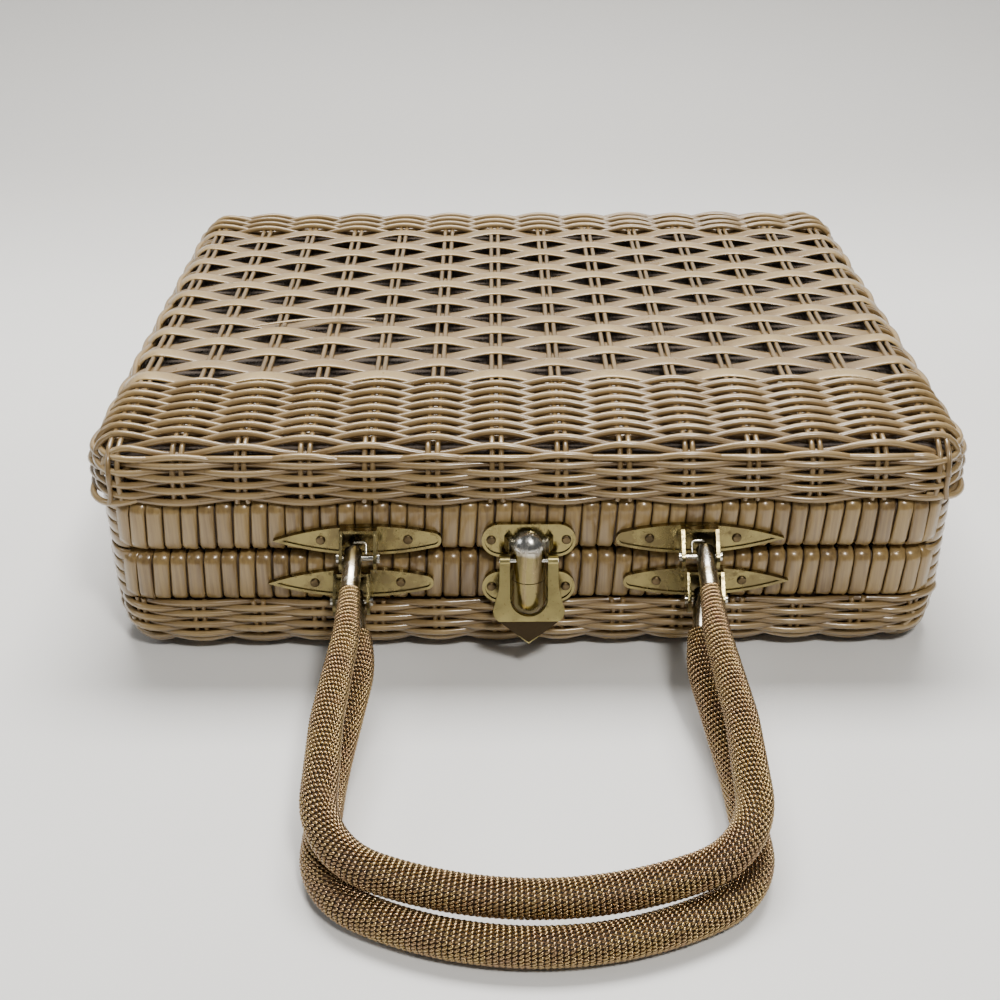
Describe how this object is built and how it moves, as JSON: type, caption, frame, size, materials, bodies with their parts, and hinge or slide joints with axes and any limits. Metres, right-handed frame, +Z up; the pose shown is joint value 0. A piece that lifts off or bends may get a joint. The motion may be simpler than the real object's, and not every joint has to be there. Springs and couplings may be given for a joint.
{
  "type": "basket box bag",
  "caption": "Flat wicker box bag, shut, lying on its back panel: woven trays with cane-bound rims, rear hinges, a barrel clasp with a lever, and mesh-covered swinging handles.",
  "frame": {"origin": "centre of the woven panel that the bag lies on, midway between the sides and between the front and rear of the rims", "axes": "+X along the width, to the right when facing the clasp; +Y from the mouth and the clasp to the rear hinges; +Z up, from the lower tray to the lid"},
  "size_m": [0.279, 0.3725, 0.0768],
  "materials": {
    "weave": "pearly lacquered woven cane and reed",
    "binding": "glossy pearly flat cane binding",
    "hoop": "plain bent wood, hidden by the binding",
    "lining": "matte dark cloth",
    "gold_cast": "worn gold plate on cast metal",
    "tack": "worn gold tack",
    "bright_pin": "bright pin with round heads",
    "ferrule": "worn, silver showing through brass",
    "wire": "bright wire",
    "mesh": "knitted metal mesh, silver and gold",
    "core": "plain plastic core",
    "lever": "pitted olive gold",
    "hinge_brass": "satin brass"
  },
  "bodies": {
    "lower_half": {"lower_basket": "weave", "lower_outer_hoop": "hoop", "lower_inner_hoop": "hoop", "lower_binding": "binding", "lower_lining": "lining", "lower_front_tacks": "tack", "lower_rear_tacks": "tack", "lower_plate_left": "gold_cast", "lower_plate_right": "gold_cast", "lower_pin_left": "bright_pin", "lower_pin_right": "bright_pin", "clasp_lower_plate": "gold_cast", "hinge_lower_leaf_left": "hinge_brass", "hinge_lower_leaf_right": "hinge_brass", "hinge_pin_left": "hinge_brass", "hinge_pin_right": "hinge_brass"},
    "lid": {"lid_basket": "weave", "lid_outer_hoop": "hoop", "lid_inner_hoop": "hoop", "lid_binding": "binding", "lid_lining": "lining", "lid_front_tacks": "tack", "lid_rear_tacks": "tack", "lid_plate_left": "gold_cast", "lid_plate_right": "gold_cast", "lid_pin_left": "bright_pin", "lid_pin_right": "bright_pin", "clasp_lid_plate": "gold_cast", "clasp_lever_pin": "wire", "clasp_tongue": "wire", "hinge_lid_leaf_left": "hinge_brass", "hinge_lid_leaf_right": "hinge_brass"},
    "lid_handle": {"lid_handle_sleeve": "mesh", "lid_handle_core": "core", "lid_handle_hooks": "wire", "lid_ferrule_left": "ferrule", "lid_ferrule_right": "ferrule"},
    "lower_handle": {"lower_handle_sleeve": "mesh", "lower_handle_core": "core", "lower_handle_hooks": "wire", "lower_ferrule_left": "ferrule", "lower_ferrule_right": "ferrule"},
    "clasp_lever": {"clasp_lever": "lever"}
  },
  "joints": [
    {"name": "lid_hinge", "type": "hinge", "parent": "lower_half", "child": "lid", "pos_m": [0, 0.1185, 0.0384], "axis": [-1, 0, 0], "range_deg": [0, 110]},
    {"name": "lid_handle_swing", "type": "hinge", "parent": "lid", "child": "lid_handle", "pos_m": [0, -0.1245, 0.0416], "axis": [-1, 0, 0], "range_deg": [0, 100]},
    {"name": "lower_handle_swing", "type": "hinge", "parent": "lower_half", "child": "lower_handle", "pos_m": [0, -0.1245, 0.0259], "axis": [-1, 0, 0], "range_deg": [-70, 0]},
    {"name": "clasp_lever_hinge", "type": "hinge", "parent": "lid", "child": "clasp_lever", "pos_m": [0, -0.122, 0.039], "axis": [-1, 0, 0], "range_deg": [0, 110]}
  ]
}
